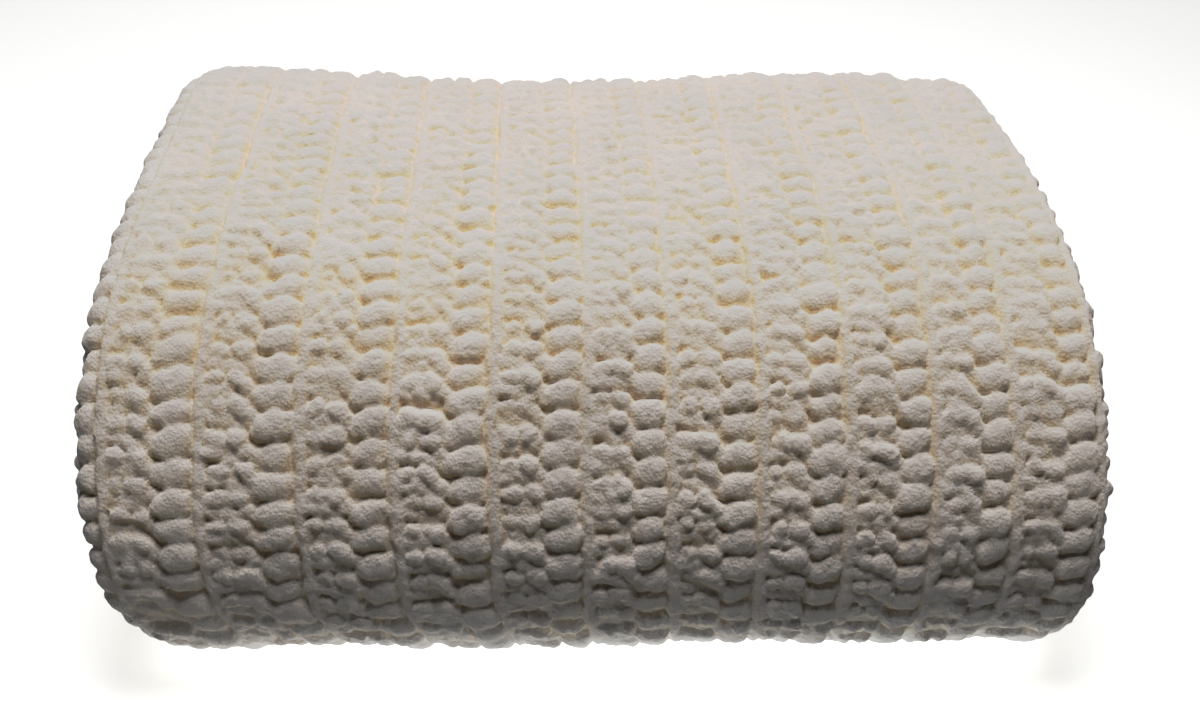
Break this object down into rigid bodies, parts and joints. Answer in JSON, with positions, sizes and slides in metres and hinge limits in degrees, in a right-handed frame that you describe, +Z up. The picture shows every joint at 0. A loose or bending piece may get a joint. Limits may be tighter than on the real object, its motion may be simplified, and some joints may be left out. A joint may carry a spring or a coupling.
{
  "type": "folded crochet baby blanket",
  "caption": "Thick chenille crochet baby blanket in cream, worked in ridged rows and folded into a soft stack with a rounded front fold.",
  "frame": {"origin": "middle of the footprint, on the surface that the folded blanket rests on", "axes": "+Z up, -Y towards the rounded front fold, +X towards the open edges on the right"},
  "size_m": [0.4336, 0.3108, 0.1673],
  "materials": {
    "chenille_yarn": "soft matt pile"
  },
  "bodies": {
    "root": {"blanket": "chenille_yarn"}
  },
  "joints": []
}
